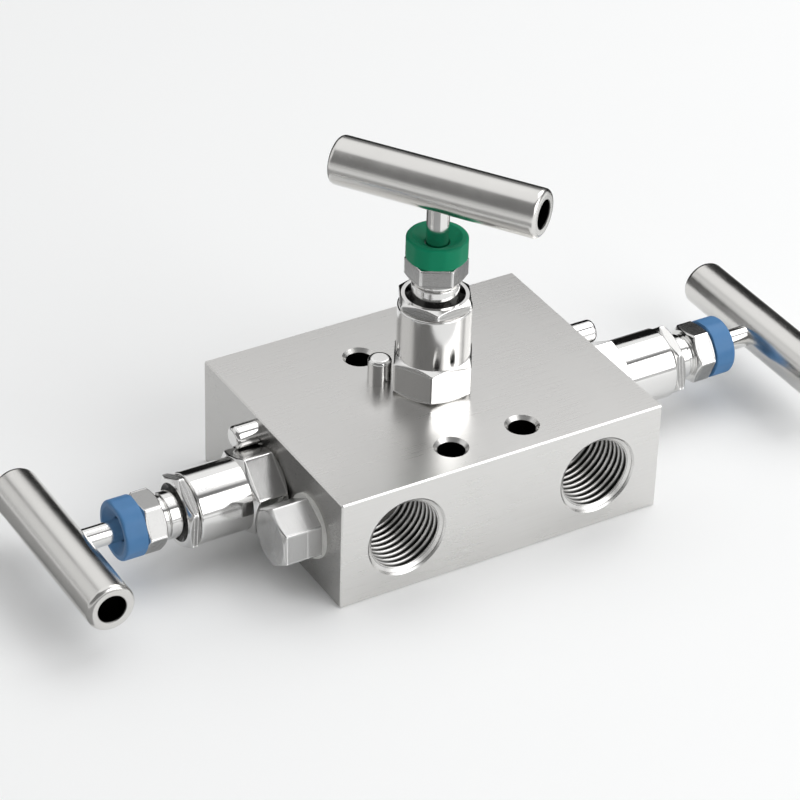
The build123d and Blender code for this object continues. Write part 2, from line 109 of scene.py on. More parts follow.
# ---- how far each hexagon, pin and handle is turned about its valve's axis, in degrees ----
TURNS = {
    "top": {"bonnet": 58.0, "nut": 3.0, "bolt": 30.0, "pin": 147.0, "handle": -56.4},
    "left": {"bonnet": 18.0, "nut": 25.0, "bolt": 57.0, "pin": -57.0, "handle": 0.0},
    "right": {"bonnet": 28.0, "nut": 20.0, "bolt": 53.0, "pin": 57.0, "handle": 0.0},
}
PLUG_TURN = 92.0

# ---- how rough the milling leaves each hexagon's flats, and how far painted shade darkens them ----
DULL_AND_SHADE = {"bonnet": 0.35, "nut": 1.0, "bolt": 1.0, "plug": 0.4}

# ---- mesh fineness ----
SAMPLES_PER_SIDE = 26
CORNER_CROWDING = 0.88
CORNER_SHARPNESS = 110
CLIP_SOFTNESS = 0.06
CLIP_STEP = 0.3
CLIP_MARGIN = 1.0
FILLET_STEPS = 5
FILLET_SHARE = 0.45
SUPPORT = 0.12
SUPPORT_SHARE = 0.3

# ---- marks on the turned pieces that their materials read ----
# Milled grows from 0 to 1 over the first MILLED_FADE mm that a flat cuts off. Towards the corners it ends
# at MILLED_END of the rise from a flat's middle to its corner, and eases out over MILLED_EDGE of it.
# The materials paint shade by both marks: inner darkens the walls of bores, and milled darkens the flats,
# which it also roughens.
INNER_GAIN = 0.75
MILLED_FADE = 0.2
MILLED_END, MILLED_EDGE = 0.86, 0.12
CENTIMETRES = 0.1
TINY = 1e-9


# ---- surfaces of revolution and hexagons ----
def unit(vector):
    """Vector of length one that points the same way."""
    return vector / np.linalg.norm(vector)


def rounded(corners):
    """Half section with its corners rounded: (radius, height, fillet) corners become arc points.

    Each arc is tangent to both neighbours, its centre on the bisector. From start spoke a to end spoke b,
    w apart, its points are (sin((1 - t) w) a + sin(t w) b) / sin(w). A support point just outside each
    arc keeps the shading of the straight runs even.
    """
    flat = np.array([corner[:2] for corner in corners], float)
    points = [flat[0]]
    for i in range(1, len(corners) - 1):
        back, ahead = flat[i - 1] - flat[i], flat[i + 1] - flat[i]
        room = min(np.linalg.norm(back), np.linalg.norm(ahead))
        back, ahead = unit(back), unit(ahead)
        half = math.acos(np.clip(back @ ahead, -1, 1)) / 2
        fillet = min(corners[i][2], FILLET_SHARE * room * math.tan(half))
        reach = fillet / math.tan(half)
        support = min(SUPPORT, SUPPORT_SHARE * (room - reach))
        centre = flat[i] + unit(back + ahead) * fillet / math.sin(half)
        start, end = flat[i] + back * reach - centre, flat[i] + ahead * reach - centre
        spread = math.pi - 2 * half
        t = np.linspace(0, 1, FILLET_STEPS + 1)[:, None]
        arc = (np.sin((1 - t) * spread) * start + np.sin(t * spread) * end) / math.sin(spread)
        points += [flat[i] + back * (reach + support), *(centre + arc), flat[i] + ahead * (reach + support)]
    return np.array(points + [flat[-1]])


def divided(profile, beyond):
    """Profile with short steps wherever it runs outside the given radius, so a hexagon clips it cleanly."""
    points = [profile[0]]
    for start, end in zip(profile[:-1], profile[1:]):
        outside = max(start[0], end[0]) > beyond
        steps = max(1, math.ceil(np.linalg.norm(end - start) / CLIP_STEP)) if outside else 1
        points += [start + (end - start) * k / steps for k in range(1, steps + 1)]
    return np.array(points)


def side_angles(turn):
    """Angles round a hexagon, crowded towards its corners.

    One side's share s of 60 degrees becomes s - c sin(2 pi s) / 2 pi.
    """
    s = np.arange(SAMPLES_PER_SIDE) / SAMPLES_PER_SIDE
    eased = s - CORNER_CROWDING * np.sin(2 * math.pi * s) / (2 * math.pi)
    return np.radians(turn + 60 * (np.arange(6)[:, None] + eased[None, :])).ravel()


def hexagon_radius(angles, flats, turn):
    """Radius of a hexagon with softened corners: half the width over the power mean of the six cosines."""
    normals = np.radians(turn + 30 + 60 * np.arange(6))
    cosines = np.maximum(np.cos(angles[:, None] - normals[None, :]), 0)
    return flats / 2 / (cosines ** CORNER_SHARPNESS).sum(1) ** (1 / CORNER_SHARPNESS)


def lathe(name, section, place, body, slot, replaced, flats=None, turn=0.0, dull_and_shade=0.0):
    """Piece turned from a half section of corners, clipped by a hexagon where flats is given.

    The radius at height h and angle a is the smooth minimum of the section's radius p and the hexagon's q:
    half of (p + q - sqrt((p - q)^2 + k^2)). Points on the axis become a single vertex each. The milled
    flats, all but their edges, are marked with the given strength of their roughness and painted shade.
    """
    profile = rounded(section)
    if flats:
        profile = divided(profile, flats / 2 - CLIP_MARGIN)
    angles = side_angles(turn)
    radius, height = profile[:, :1], profile[:, 1:]
    shape = np.broadcast_to(radius, (len(profile), len(angles))).copy()
    milled = np.zeros(shape.shape)
    if flats:
        limit = hexagon_radius(angles, flats, turn)[None, :]
        rise = (limit / (flats / 2) - 1) / (2 / math.sqrt(3) - 1)
        cut = np.clip((shape - limit) / MILLED_FADE, 0, 1)
        milled = dull_and_shade * cut * np.clip((MILLED_END - rise) / MILLED_EDGE, 0, 1)
        clipped = (shape + limit - np.sqrt((shape - limit) ** 2 + CLIP_SOFTNESS ** 2)) / 2
        shape = np.where(radius > flats / 2 - CLIP_MARGIN, clipped, shape)
    heights = np.broadcast_to(height, shape.shape)
    grid = np.stack([shape * np.cos(angles), shape * np.sin(angles), heights], -1)
    length = np.concatenate([[0], np.cumsum(np.linalg.norm(np.diff(profile, axis=0), axis=1))])
    fall = -np.diff(profile[:, 1]) / np.maximum(np.diff(length), TINY)
    inner = np.clip(INNER_GAIN * (np.append(fall, fall[-1]) + np.insert(fall, 0, fall[0])), 0, 1)
    marks = {"inner": np.repeat(inner, len(angles)), "milled": milled.ravel()}
    skin(name, grid, length, marks, place, body, slot, replaced)


def skin(name, grid, length, marks, place, body, slot, replaced):
    """Mesh of quads over a grid closed round its second direction; rows on the axis shrink to one point.

    The UV map holds the share of a turn and the distance along the section in centimetres. The attribute
    inner is 1 on the walls of bores, where the section runs back down, and 0 outside; milled marks flats.
    """
    rows, cols = grid.shape[:2]
    point = np.arange(rows * cols).reshape(rows, cols)
    for row in (0, rows - 1):
        if np.ptp(grid[row], axis=0).max() < TINY:
            point[row] = point[row, 0]
    following = np.roll(point, -1, axis=1)
    quads = np.stack([point[:-1], following[:-1], following[1:], point[1:]], -1).reshape(-1, 4)
    share = np.arange(cols) / cols
    across = (share, share + 1 / cols, share + 1 / cols, share)
    along = (length[:-1, None], length[:-1, None], length[1:, None], length[1:, None])
    maps = np.stack([np.stack(np.broadcast_arrays(u, v), -1) for u, v in zip(across, along)], -2)
    kept = quads != np.roll(quads, 1, axis=1)
    used, quads = np.unique(quads, return_inverse=True)
    corners = quads.reshape(kept.shape)[kept]
    faces = [face.tolist() for face in np.split(corners, np.cumsum(kept.sum(1))[:-1])]
    origin, axes = place
    world = (origin + grid.reshape(-1, 3)[used] @ axes) * MM
    mesh = bpy.data.meshes.new(name)
    mesh.from_pydata(world.tolist(), [], faces)
    turning = maps.reshape(-1, 4, 2)[kept] * (1, CENTIMETRES)
    mesh.uv_layers.new(name="turning").data.foreach_set("uv", turning.ravel())
    # inner and milled are masks that the materials darken with painted shade; milled also roughens the flats
    for mark, values in marks.items():
        attribute = mesh.attributes.new(mark, "FLOAT", "POINT")
        attribute.data.foreach_set("value", values[used].astype(np.float32))
    mesh.polygons.foreach_set("use_smooth", np.ones(len(faces), bool))
    mesh.materials.append(MATERIALS[slot])
    mesh.update()
    piece = bpy.data.objects.new(name, mesh)
    bpy.context.scene.collection.objects.link(piece)
    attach(piece, body)
    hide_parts(*replaced)


# ---- shader tools ----
def add(tree, kind, inputs=None, **settings):
    """Put one node in a tree. settings go on the node, inputs are values or outputs by socket."""
    node = tree.nodes.new(kind)
    for name, value in settings.items():
        setattr(node, name, value)
    for socket, value in (inputs or {}).items():
        if isinstance(value, bpy.types.NodeSocket):
            tree.links.new(value, node.inputs[socket])
        else:
            node.inputs[socket].default_value = value
    return node


def blended(tree, share, first, second):
    """Colour between two others. A Mix node has its colours at sockets 6 and 7, and their result at 2."""
    return add(tree, "ShaderNodeMix", {0: share, 6: first, 7: second}, data_type="RGBA").outputs[2]


def combined(tree, operation, *values):
    """Result of one operation on numbers or outputs."""
    return add(tree, "ShaderNodeMath", dict(enumerate(values)), operation=operation).outputs["Value"]


def graded(tree, value, low, high, start=0.0, end=1.0, **settings):
    """Value taken from the range low to high onto start to end, and held beyond both."""
    sockets = {"Value": value, "From Min": low, "From Max": high, "To Min": start, "To Max": end}
    return add(tree, "ShaderNodeMapRange", sockets, **settings).outputs["Result"]


def noise(tree, place, scale, detail, **more):
    """Cloudy value between 0 and 1 that changes with the place."""
    sockets = {"Vector": place, "Scale": scale, "Detail": detail, **more}
    return add(tree, "ShaderNodeTexNoise", sockets).outputs["Fac"]


def marked(tree, name):
    """Mark that the turned pieces carry as an attribute."""
    return add(tree, "ShaderNodeAttribute", attribute_name=name).outputs["Fac"]


def effect(name, inputs, outputs):
    """Empty shader group with named float or vector sockets.

    Returns the group, the sockets that it is given and the node that takes its results.
    """
    group = bpy.data.node_groups.new(name, "ShaderNodeTree")
    for label, default in inputs.items():
        kind = "NodeSocketFloat" if isinstance(default, float) else "NodeSocketVector"
        group.interface.new_socket(label, in_out="INPUT", socket_type=kind).default_value = default
    for label, kind in outputs.items():
        group.interface.new_socket(label, in_out="OUTPUT", socket_type=kind)
    return group, group.nodes.new("NodeGroupInput").outputs, group.nodes.new("NodeGroupOutput")


def finish_group(name, inputs):
    """Empty group of a surface finish: places and values come in, and tone, roughness and normal go out."""
    outputs = {"Tone": "NodeSocketFloat", "Roughness": "NodeSocketFloat", "Normal": "NodeSocketVector"}
    return effect(name, inputs, outputs)


def deliver(group, result, **values):
    """Link each value to the group's output of that name, and return the group."""
    for label, value in values.items():
        group.links.new(value, result.inputs[label])
    return group


def roughness(group, given, tone, low, high):
    """Roughness that goes from Smooth to Coarse as the tone goes from low to high."""
    return graded(group, tone, low, high, given["Smooth"], given["Coarse"])


def relief(group, given, height, distance):
    """Normal of a surface raised by a height, over a distance in metres and as strongly as Depth says."""
    sockets = {"Strength": given["Depth"], "Distance": distance, "Height": height}
    return add(group, "ShaderNodeBump", sockets).outputs["Normal"]


def brushed_group():
    """Brushed grain: fine streaks, already stretched by the caller's mapping, over slow patches of tone."""
    group, given, result = finish_group("brushed_grain", {
        "Streaked": (0.0, 0.0, 0.0), "Plain": (0.0, 0.0, 0.0), "Smooth": 0.25, "Coarse": 0.4, "Depth": 0.2,
    })
    streak = noise(group, given["Streaked"], 1.0, 5.0, Roughness=0.65)
    patch = noise(group, given["Plain"], 55.0, 3.0)
    tone = add(group, "ShaderNodeMix", {"Factor": 0.35, "A": streak, "B": patch}).outputs["Result"]
    rough = roughness(group, given, tone, 0.3, 0.7)
    return deliver(group, result, Tone=tone, Roughness=rough, Normal=relief(group, given, streak, 0.00003))


def turning_group():
    """Turning marks: noise that changes only along the section, in fine rings, with smudges over them.

    Milled adds to the roughness, so that flats stay duller than what was turned.
    """
    group, given, result = finish_group("turning_marks", {
        "Map": (0.0, 0.0, 0.0), "Place": (0.0, 0.0, 0.0), "Milled": 0.0, "Rings": 160.0, "Smooth": 0.06,
        "Coarse": 0.16, "Depth": 0.1,
    })
    along = add(group, "ShaderNodeSeparateXYZ", {"Vector": given["Map"]}).outputs["Y"]
    sockets = {"W": along, "Scale": given["Rings"], "Detail": 3.0}
    rings = add(group, "ShaderNodeTexNoise", sockets, noise_dimensions="1D").outputs["Fac"]
    smudge = noise(group, given["Place"], 160.0, 3.0)
    tone = add(group, "ShaderNodeMix", {"Factor": 0.5, "A": rings, "B": smudge}).outputs["Result"]
    turned_rough = roughness(group, given, tone, 0.35, 0.65)
    rough = combined(group, "MULTIPLY_ADD", given["Milled"], MILLED_ROUGHNESS, turned_rough)
    return deliver(group, result, Tone=tone, Roughness=rough, Normal=relief(group, given, rings, 0.00002))


def moulded_group():
    """Moulded plastic: a fine skin texture and faint cloudy colour."""
    group, given, result = finish_group("moulded_skin", {
        "Place": (0.0, 0.0, 0.0), "Smooth": 0.3, "Coarse": 0.45, "Depth": 0.15,
    })
    fine = noise(group, given["Place"], 3500.0, 2.0)
    cloud = noise(group, given["Place"], 220.0, 3.0)
    rough = roughness(group, given, cloud, 0.35, 0.65)
    return deliver(group, result, Tone=cloud, Roughness=rough, Normal=relief(group, given, fine, 0.00004))


def bore_group():
    """Painted shade: 1 at the roots of the port threads and down the mounting holes, 0 elsewhere on the
    block.

    The distance from a port's axis is the length of (|x| - port x, z - axis height); from a mounting hole's
    axis it is the length of (|x| - hole x, |y - shift| - hole y).
    """
    group, given, result = effect("bore_shade", {"Place": (0.0, 0.0, 0.0)}, {"Film": "NodeSocketFloat"})

    def vector(operation, *values, output="Vector"):
        sockets = dict(enumerate(values))
        return add(group, "ShaderNodeVectorMath", sockets, operation=operation).outputs[output]

    def distance(centre, shift, kept):
        folded = vector("ABSOLUTE", vector("SUBTRACT", given["Place"], shift))
        offset = vector("MULTIPLY", vector("SUBTRACT", folded, centre), kept)
        return vector("LENGTH", offset, output="Value")

    def within(value, limit):
        return combined(group, "LESS_THAN", value, limit * MM)

    place = add(group, "ShaderNodeSeparateXYZ", {"Vector": given["Place"]}).outputs
    port = distance((PORT_X * MM, 0, AXIS_HEIGHT * MM), (0, 0, 0), (1, 0, 1))
    root = graded(group, port, *(radius * MM for radius in PORT_THREAD_ROOT))
    behind = within(combined(group, "ABSOLUTE", place["Y"]), DEPTH / 2 - PORT_MOUTH_DEPTH)
    thread = combined(group, "MULTIPLY", combined(group, "MULTIPLY", root, within(port, PORT_REACH)), behind)
    hole = distance((MOUNT_X * MM, MOUNT_Y * MM, 0), (0, MOUNT_SHIFT * MM, 0), (1, 1, 0))
    sunk = within(place["Z"], HEIGHT - MOUNT_MOUTH_DEPTH)
    well = combined(group, "MULTIPLY", within(hole, MOUNT_RADIUS), sunk)
    return deliver(group, result, Film=combined(group, "MAXIMUM", thread, well))


# ---- finishes ----
# Painted shade darkens the block and the turned pieces towards the dark colour below, at most by the
# block's and the walls' limits. The block's end faces get a fainter painted shade that rises to its own
# limit as the share of x in their normal goes through END_FACING.
SHADE_COLOUR = (0.02, 0.02, 0.019, 1)
BLOCK_SHADE = 0.92
END_FACING = (0.95, 0.99)
END_SHADE = 0.3
WALL_SHADE = 0.95
MILLED_SHADE = 0.55
MILLED_ROUGHNESS = 0.17


def finish_material(name, dark, light, wire, painted_shade=None, metallic=0.0, specular=0.5):
    """Material whose colour runs from dark to light with the effect's tone; wire places the effect's node.

    The shade wire, where one is given, says how far painted shade darkens each place.
    """
    material = bpy.data.materials.new(name)
    material.use_nodes = True
    tree = material.node_tree
    shader = tree.nodes["Principled BSDF"]
    look = wire(tree)
    colour = blended(tree, look.outputs["Tone"], (*dark, 1), (*light, 1))
    # painted shade: the colour goes towards the dark shade colour as far as the shade wire says
    if painted_shade:
        colour = blended(tree, painted_shade(tree), colour, SHADE_COLOUR)
    tree.links.new(colour, shader.inputs["Base Color"])
    tree.links.new(look.outputs["Roughness"], shader.inputs["Roughness"])
    tree.links.new(look.outputs["Normal"], shader.inputs["Normal"])
    shader.inputs["Metallic"].default_value = metallic
    shader.inputs["Specular IOR Level"].default_value = specular
    return material


def wired(tree, group, smooth, coarse, depth, **places):
    """Node of an effect's group, with its roughness, its depth and the places it reads."""
    values = {"Smooth": smooth, "Coarse": coarse, "Depth": depth}
    return add(tree, "ShaderNodeGroup", {**places, **values}, node_tree=GROUPS[group])


def brushed(stretch, smooth, coarse, depth):
    """Wire the brushed grain on Object coordinates stretched by the given scales."""
    def wire(tree):
        place = add(tree, "ShaderNodeTexCoord").outputs["Object"]
        streaked = add(tree, "ShaderNodeMapping", {"Vector": place, "Scale": stretch}).outputs["Vector"]
        return wired(tree, "brushed", smooth, coarse, depth, Streaked=streaked, Plain=place)
    return wire


def turned(rings, smooth, coarse, depth):
    """Wire the turning marks on the piece's own UV map."""
    def wire(tree):
        place = add(tree, "ShaderNodeTexCoord").outputs["Object"]
        lines = add(tree, "ShaderNodeUVMap", uv_map="turning").outputs["UV"]
        places = {"Map": lines, "Place": place, "Milled": marked(tree, "milled"), "Rings": rings}
        return wired(tree, "turning", smooth, coarse, depth, **places)
    return wire


def moulded(smooth, coarse, depth):
    """Wire the moulded skin on Object coordinates."""
    def wire(tree):
        place = add(tree, "ShaderNodeTexCoord").outputs["Object"]
        return wired(tree, "moulded", smooth, coarse, depth, Place=place)
    return wire


def block_shade(tree):
    """Painted shade in the block's threads and holes, and a fainter painted shade that darkens the milled
    end faces.
    """
    coords = add(tree, "ShaderNodeTexCoord").outputs
    painted_shade = add(tree, "ShaderNodeGroup", {"Place": coords["Object"]}, node_tree=GROUPS["painted_shade"])
    facing = add(tree, "ShaderNodeSeparateXYZ", {"Vector": coords["Normal"]}).outputs["X"]
    ends = graded(tree, combined(tree, "ABSOLUTE", facing), *END_FACING, end=END_SHADE)
    return combined(tree, "MULTIPLY", combined(tree, "MAXIMUM", painted_shade.outputs["Film"], ends), BLOCK_SHADE)


def wall_shade(tree):
    """Painted shade on the inner walls of a turned piece, and a thinner painted shade that darkens its
    milled flats.
    """
    flat_shade = combined(tree, "MULTIPLY", marked(tree, "milled"), MILLED_SHADE)
    return combined(tree, "MULTIPLY", combined(tree, "MAXIMUM", marked(tree, "inner"), flat_shade), WALL_SHADE)


block_low, block_high = (np.array(corner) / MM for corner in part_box("block"))
DEPTH = block_high[1] - block_low[1]
HEIGHT = block_high[2] - block_low[2]
AXIS_HEIGHT = HEIGHT / 2
GROUPS = {
    "brushed": brushed_group(),
    "turning": turning_group(),
    "moulded": moulded_group(),
    "painted_shade": bore_group(),
}
MATERIALS = {
    "block_steel": finish_material(
        "brushed_block", (0.68, 0.67, 0.655), (0.8, 0.795, 0.78),
        brushed((60, 3000, 3000), 0.25, 0.33, 0.2), block_shade, metallic=1.0,
    ),
    "polished_steel": finish_material(
        "polished_turning", (0.74, 0.735, 0.725), (0.84, 0.835, 0.825),
        turned(170.0, 0.06, 0.14, 0.12), wall_shade, metallic=1.0,
    ),
    "handle_steel": finish_material(
        "satin_bar", (0.66, 0.65, 0.63), (0.78, 0.77, 0.75),
        turned(140.0, 0.17, 0.26, 0.15), wall_shade, metallic=1.0,
    ),
    "plug_steel": finish_material(
        "satin_plug", (0.56, 0.56, 0.555), (0.68, 0.675, 0.67),
        turned(120.0, 0.2, 0.32, 0.2), wall_shade, metallic=1.0,
    ),
    "screw_steel": finish_material(
        "oiled_screw", (0.09, 0.09, 0.095), (0.16, 0.16, 0.165),
        brushed((900, 900, 900), 0.3, 0.5, 0.3), metallic=1.0,
    ),
    "cap_green": finish_material(
        "green_cap", (0.001, 0.205, 0.1), (0.002, 0.25, 0.125), moulded(0.36, 0.5, 0.12), specular=0.16,
    ),
    "cap_blue": finish_material(
        "blue_cap", (0.065, 0.185, 0.38), (0.092, 0.235, 0.46), moulded(0.36, 0.5, 0.12), specular=0.25,
    ),
    "packing": finish_material(
        "white_packing", (0.78, 0.78, 0.75), (0.88, 0.88, 0.85), moulded(0.4, 0.55, 0.2),
    ),
    "seal": finish_material(
        "white_seal", (0.74, 0.74, 0.71), (0.85, 0.85, 0.82), moulded(0.4, 0.55, 0.2),
    ),
}
INNER_STEEL = finish_material(
    "inner_steel", (0.6, 0.595, 0.585), (0.72, 0.715, 0.7),
    brushed((1200, 1200, 1200), 0.18, 0.3, 0.2), metallic=1.0,
)

# The turned finishes read a UV map and marks that only the new pieces have, so nodes of those slots take
# the inner steel instead.
slot_of = {part["node"]: part["material_slot"] for part in frame["record"]["subparts"]}
for node, cad in frame["nodes"].items():
    own = slot_of[node] not in ("polished_steel", "handle_steel", "plug_steel")
    for material_slot in cad.material_slots:
        material_slot.material = MATERIALS[slot_of[node]] if own else INNER_STEEL


# ---- places: the origin of each valve on its block face, two axes along the face and one outwards ----
FRAMES = {
    "top": (np.array([0, 0, block_high[2]]), np.array([[1, 0, 0], [0, 1, 0], [0, 0, 1]], float)),
    "left": (np.array([block_low[0], 0, AXIS_HEIGHT]), np.array([[0, 1, 0], [0, 0, -1], [-1, 0, 0]], float)),
    "right": (np.array([block_high[0], 0, AXIS_HEIGHT]), np.array([[0, 1, 0], [0, 0, 1], [1, 0, 0]], float)),
}


def moved(place, offset, axes=None):
    """Frame shifted by a local offset, with its rows turned to the given local axes."""
    origin, rows = place
    return origin + np.array(offset, float) @ rows, rows if axes is None else np.array(axes, float) @ rows


# ---- pieces: each section is a list of (radius, height, fillet) corners ----
def hexagon_section(flats, low, high, fillet=0.12):
    """Outer corners of a hexagon bar, each end bevelled to a circle just inside the flats."""
    corner, face = flats / math.sqrt(3), flats / 2 - BEVEL_INSET
    bevel = (corner - face) * math.tan(math.radians(BEVEL_ANGLE)) + BEVEL_RISE
    outside = corner + BEVEL_RUN
    return [(face, low, fillet), (outside, low + bevel, 0), (outside, high - bevel, 0), (face, high, fillet)]


def valve_body(valve, place, turn):
    """Bonnet: threaded nose, bevelled hexagon, round body and the packing bore open at its end."""
    nose, nose_end = BONNET_NOSE
    radius, top = BONNET_BODY
    bore, bore_floor = BONNET_BORE
    flats, low, high = BONNET_HEX
    section = [
        (0, nose_end, 0), (nose, nose_end, 0.4), (nose, low, 0.02), *hexagon_section(flats, low, high),
        (radius, high, 0.25), (radius, top, 0.45), (bore, top, 0.2), (bore, bore_floor, 0.1),
        (0, bore_floor, 0),
    ]
    name, replaced = f"valve_body_{valve}", [f"bonnet_{valve}"]
    lathe(name, section, place, "manifold", "polished_steel", replaced, flats, turn, DULL_AND_SHADE["bonnet"])


def jam_nut(valve, place, turn):
    """Thin lock nut with a wide bevelled mouth."""
    bore = BONNET_BORE[0]
    flats, low, high = NUT_HEX
    section = [
        (bore, NUT_WAIST, 0), (bore, low, 0.1), *hexagon_section(flats, low, high),
        (bore + NUT_MOUTH, high, 0.15), (bore, high - NUT_MOUTH, 0.15), (bore, NUT_WAIST, 0),
    ]
    name, replaced = f"jam_nut_{valve}", [f"lock_nut_{valve}"]
    lathe(name, section, place, "manifold", "polished_steel", replaced, flats, turn, DULL_AND_SHADE["nut"])


def gland_bolt(valve, place, turn):
    """Hollow packing bolt: shank, relief groove under the head, bevelled hexagon and a neck for the cap."""
    shank, end = BOLT_SHANK
    flats, low, high = BOLT_HEX
    neck, neck_end = BOLT_NECK
    groove = shank - BOLT_RELIEF_DEPTH
    edge, floor_edge = (low - distance for distance in BOLT_RELIEF)
    middle = (end + low) / 2
    section = [
        (BOLT_BORE, middle, 0), (BOLT_BORE, end, 0.1), (shank, end, 0.4), (shank, edge, 0.3),
        (groove, floor_edge, 0.2), (groove, low, 0.2), *hexagon_section(flats, low, high),
        (neck, high, 0.1), (neck, neck_end, 0.2), (BOLT_BORE, neck_end, 0.1), (BOLT_BORE, middle, 0),
    ]
    name, replaced = f"gland_bolt_{valve}", [f"packing_bolt_{valve}"]
    lathe(name, section, place, "manifold", "polished_steel", replaced, flats, turn, DULL_AND_SHADE["bolt"])


def dust_cap(valve, place, turn):
    """Moulded cap: six shallow flats, a rounded rim, a dished mouth round the stem and a socket below."""
    radius, low, high = CAP
    socket, depth = CAP_SOCKET
    middle = (low + high) / 2
    section = [
        (CAP_HOLE, middle, 0), (CAP_HOLE, low + depth, 0.1), (socket, low + depth, 0.1), (socket, low, 0.1),
        (radius, low, 0.25), (radius, high, 0.7), (radius - CAP_RIM, high, 0.4),
        (CAP_HOLE, high - CAP_DISH, 0.3), (CAP_HOLE, middle, 0),
    ]
    slot = "cap_green" if valve == "top" else "cap_blue"
    lathe(f"cap_{valve}", section, place, "manifold", slot, [f"dust_cap_{valve}"], CAP_FLATS, turn)


def spindle(valve, place):
    """Polished stem from inside the bonnet to the handle."""
    section = [
        (0, STEM_FROM, 0), (STEM_RADIUS, STEM_FROM, 0.2),
        (STEM_RADIUS, HANDLE_AXIS, 0.1), (0, HANDLE_AXIS, 0),
    ]
    lathe(f"spindle_{valve}", section, place, f"stem_{valve}", "polished_steel", [f"stem_{valve}"])


def tee_bar(valve, place, turn):
    """Cross bar with rounded rims; both ends are drilled, and the holes' edges are broken."""
    radius, length = BAR
    bore, depth = BAR_BORE
    half = length / 2
    angle = math.radians(turn)
    along = (math.cos(angle), math.sin(angle), 0)
    across = (-math.sin(angle), math.cos(angle), 0)
    section = [
        (0, depth - half, 0), (bore, depth - half, 0.1), (bore, -half, 0.35), (radius, -half, BAR_RIM),
        (radius, half, BAR_RIM), (bore, half, 0.35), (bore, half - depth, 0.1), (0, half - depth, 0),
    ]
    bar_place = moved(place, (0, 0, HANDLE_AXIS), (across, (0, 0, 1), along))
    lathe(f"tee_bar_{valve}", section, bar_place, f"stem_{valve}", "handle_steel", [f"handle_{valve}"])


def stop_pin(valve, place, turn):
    """Pin that keeps the bonnet from turning, with a domed end."""
    radius, low, high = PIN
    angle = math.radians(turn)
    section = [(0, low, 0), (radius, low, 0.3), (radius, high, PIN_DOME), (0, high + PIN_CROWN, 0)]
    pin_place = moved(place, (PIN_CIRCLE * math.cos(angle), PIN_CIRCLE * math.sin(angle), 0))
    lathe(f"stop_pin_{valve}", section, pin_place, "manifold", "polished_steel", [f"lock_pin_{valve}"])


def plug():
    """Vent plug: shank in the block, grooved round collar and a bevelled hexagon head."""
    shank, end = PLUG_SHANK
    foot, foot_top = PLUG_FOOT
    groove, groove_low, groove_high = PLUG_GROOVE
    collar, collar_low, collar_high = PLUG_COLLAR
    flats, low, high = PLUG_HEX
    section = [
        (0, end, 0), (shank, end, 0.4), (shank, 0, 0.05), (foot, 0, 0.2), (foot, foot_top, 0.15),
        (groove, groove_low, 0.1), (groove, groove_high, 0.1), (collar, collar_low, 0.15),
        (collar, collar_high, 0.5), *hexagon_section(flats, low, high, 0.3)[1:], (0, high, 0),
    ]
    place = moved(FRAMES["left"], (PLUG_Y, 0, 0))
    lathe("plug", section, place, "manifold", "plug_steel", ["vent_plug"], flats, PLUG_TURN, DULL_AND_SHADE["plug"])


for valve, place in FRAMES.items():
    turns = TURNS[valve]
    valve_body(valve, place, turns["bonnet"])
    jam_nut(valve, place, turns["nut"])
    gland_bolt(valve, place, turns["bolt"])
    dust_cap(valve, place, turns["bolt"])
    spindle(valve, place)
    tee_bar(valve, place, turns["handle"])
    stop_pin(valve, place, turns["pin"])
plug()

# ---- floor, cards, light and camera, in metres and degrees ----
# A card is (sector of azimuths, radii of its two edges, their heights, level), and a lamp is (place, size,
# power).
FLOOR_HALF = 3
FLOOR_COLOUR = (0.93, 0.935, 0.935)
CARD_STEPS = 48
DARK_SIDE, PALE_SIDE = (4.0, 122.0), (122.0, 262.0)
CARD_NEAR, CARD_FAR = 0.112, 0.24
CARD_FOOT, CARD_TOP = 0.0005, 0.145
CARDS = {
    "card_back": (DARK_SIDE, (CARD_FAR, CARD_FAR), (CARD_FOOT, CARD_TOP), 0.01),
    "card_floor": (DARK_SIDE, (CARD_NEAR, CARD_FAR), (CARD_FOOT, CARD_FOOT), 0.12),
    "card_side": (PALE_SIDE, (CARD_NEAR, CARD_FAR), (CARD_FOOT, CARD_FOOT), 0.38),
}
ROOM = 0.2
HORIZON = 0.6
HORIZON_EDGE = (0.09, 0.17)
PANELS = [
    (59, 70, 34, 47, 1.02),
    (144, 32, 22, 31, 0.82),
    (298, 31, 10, 17, 1.05),
    (322, 30, 10, 17, 1.45),
]
LAMP_TARGET = (0, 0, 0.03)
LAMPS = {"key": ((0.75, 0.15, 0.95), 0.9, 4.3), "fill": ((0.45, -0.95, 0.6), 0.95, 6.3)}
CAMERA_PLACE = (-0.354634, -0.570338, 0.476754)
CAMERA_AZIMUTH, CAMERA_HEIGHT, CAMERA_ROLL = -121.2146, 33.95, 1.8181
LENS, SENSOR = 147.283, 36.0


def paper_sheet(name, points, faces, paper, colour, rough):
    """Plain sheet of the stage, in paper that doesn't shine."""
    mesh = bpy.data.meshes.new(name)
    mesh.from_pydata(points, [], faces)
    obj = bpy.data.objects.new(name, mesh)
    bpy.context.scene.collection.objects.link(obj)
    material = bpy.data.materials.new(paper)
    material.use_nodes = True
    shader = material.node_tree.nodes["Principled BSDF"]
    shader.inputs["Base Color"].default_value = (*colour, 1)
    shader.inputs["Roughness"].default_value = rough
    shader.inputs["Specular IOR Level"].default_value = 0.0
    mesh.materials.append(material)
    return obj


def floor():
    """Plain pale floor."""
    points = [(x * FLOOR_HALF, y * FLOOR_HALF, 0) for x, y in ((-1, -1), (1, -1), (1, 1), (-1, 1))]
    paper_sheet("floor", points, [(0, 1, 2, 3)], "floor_paper", FLOOR_COLOUR, rough=0.9)


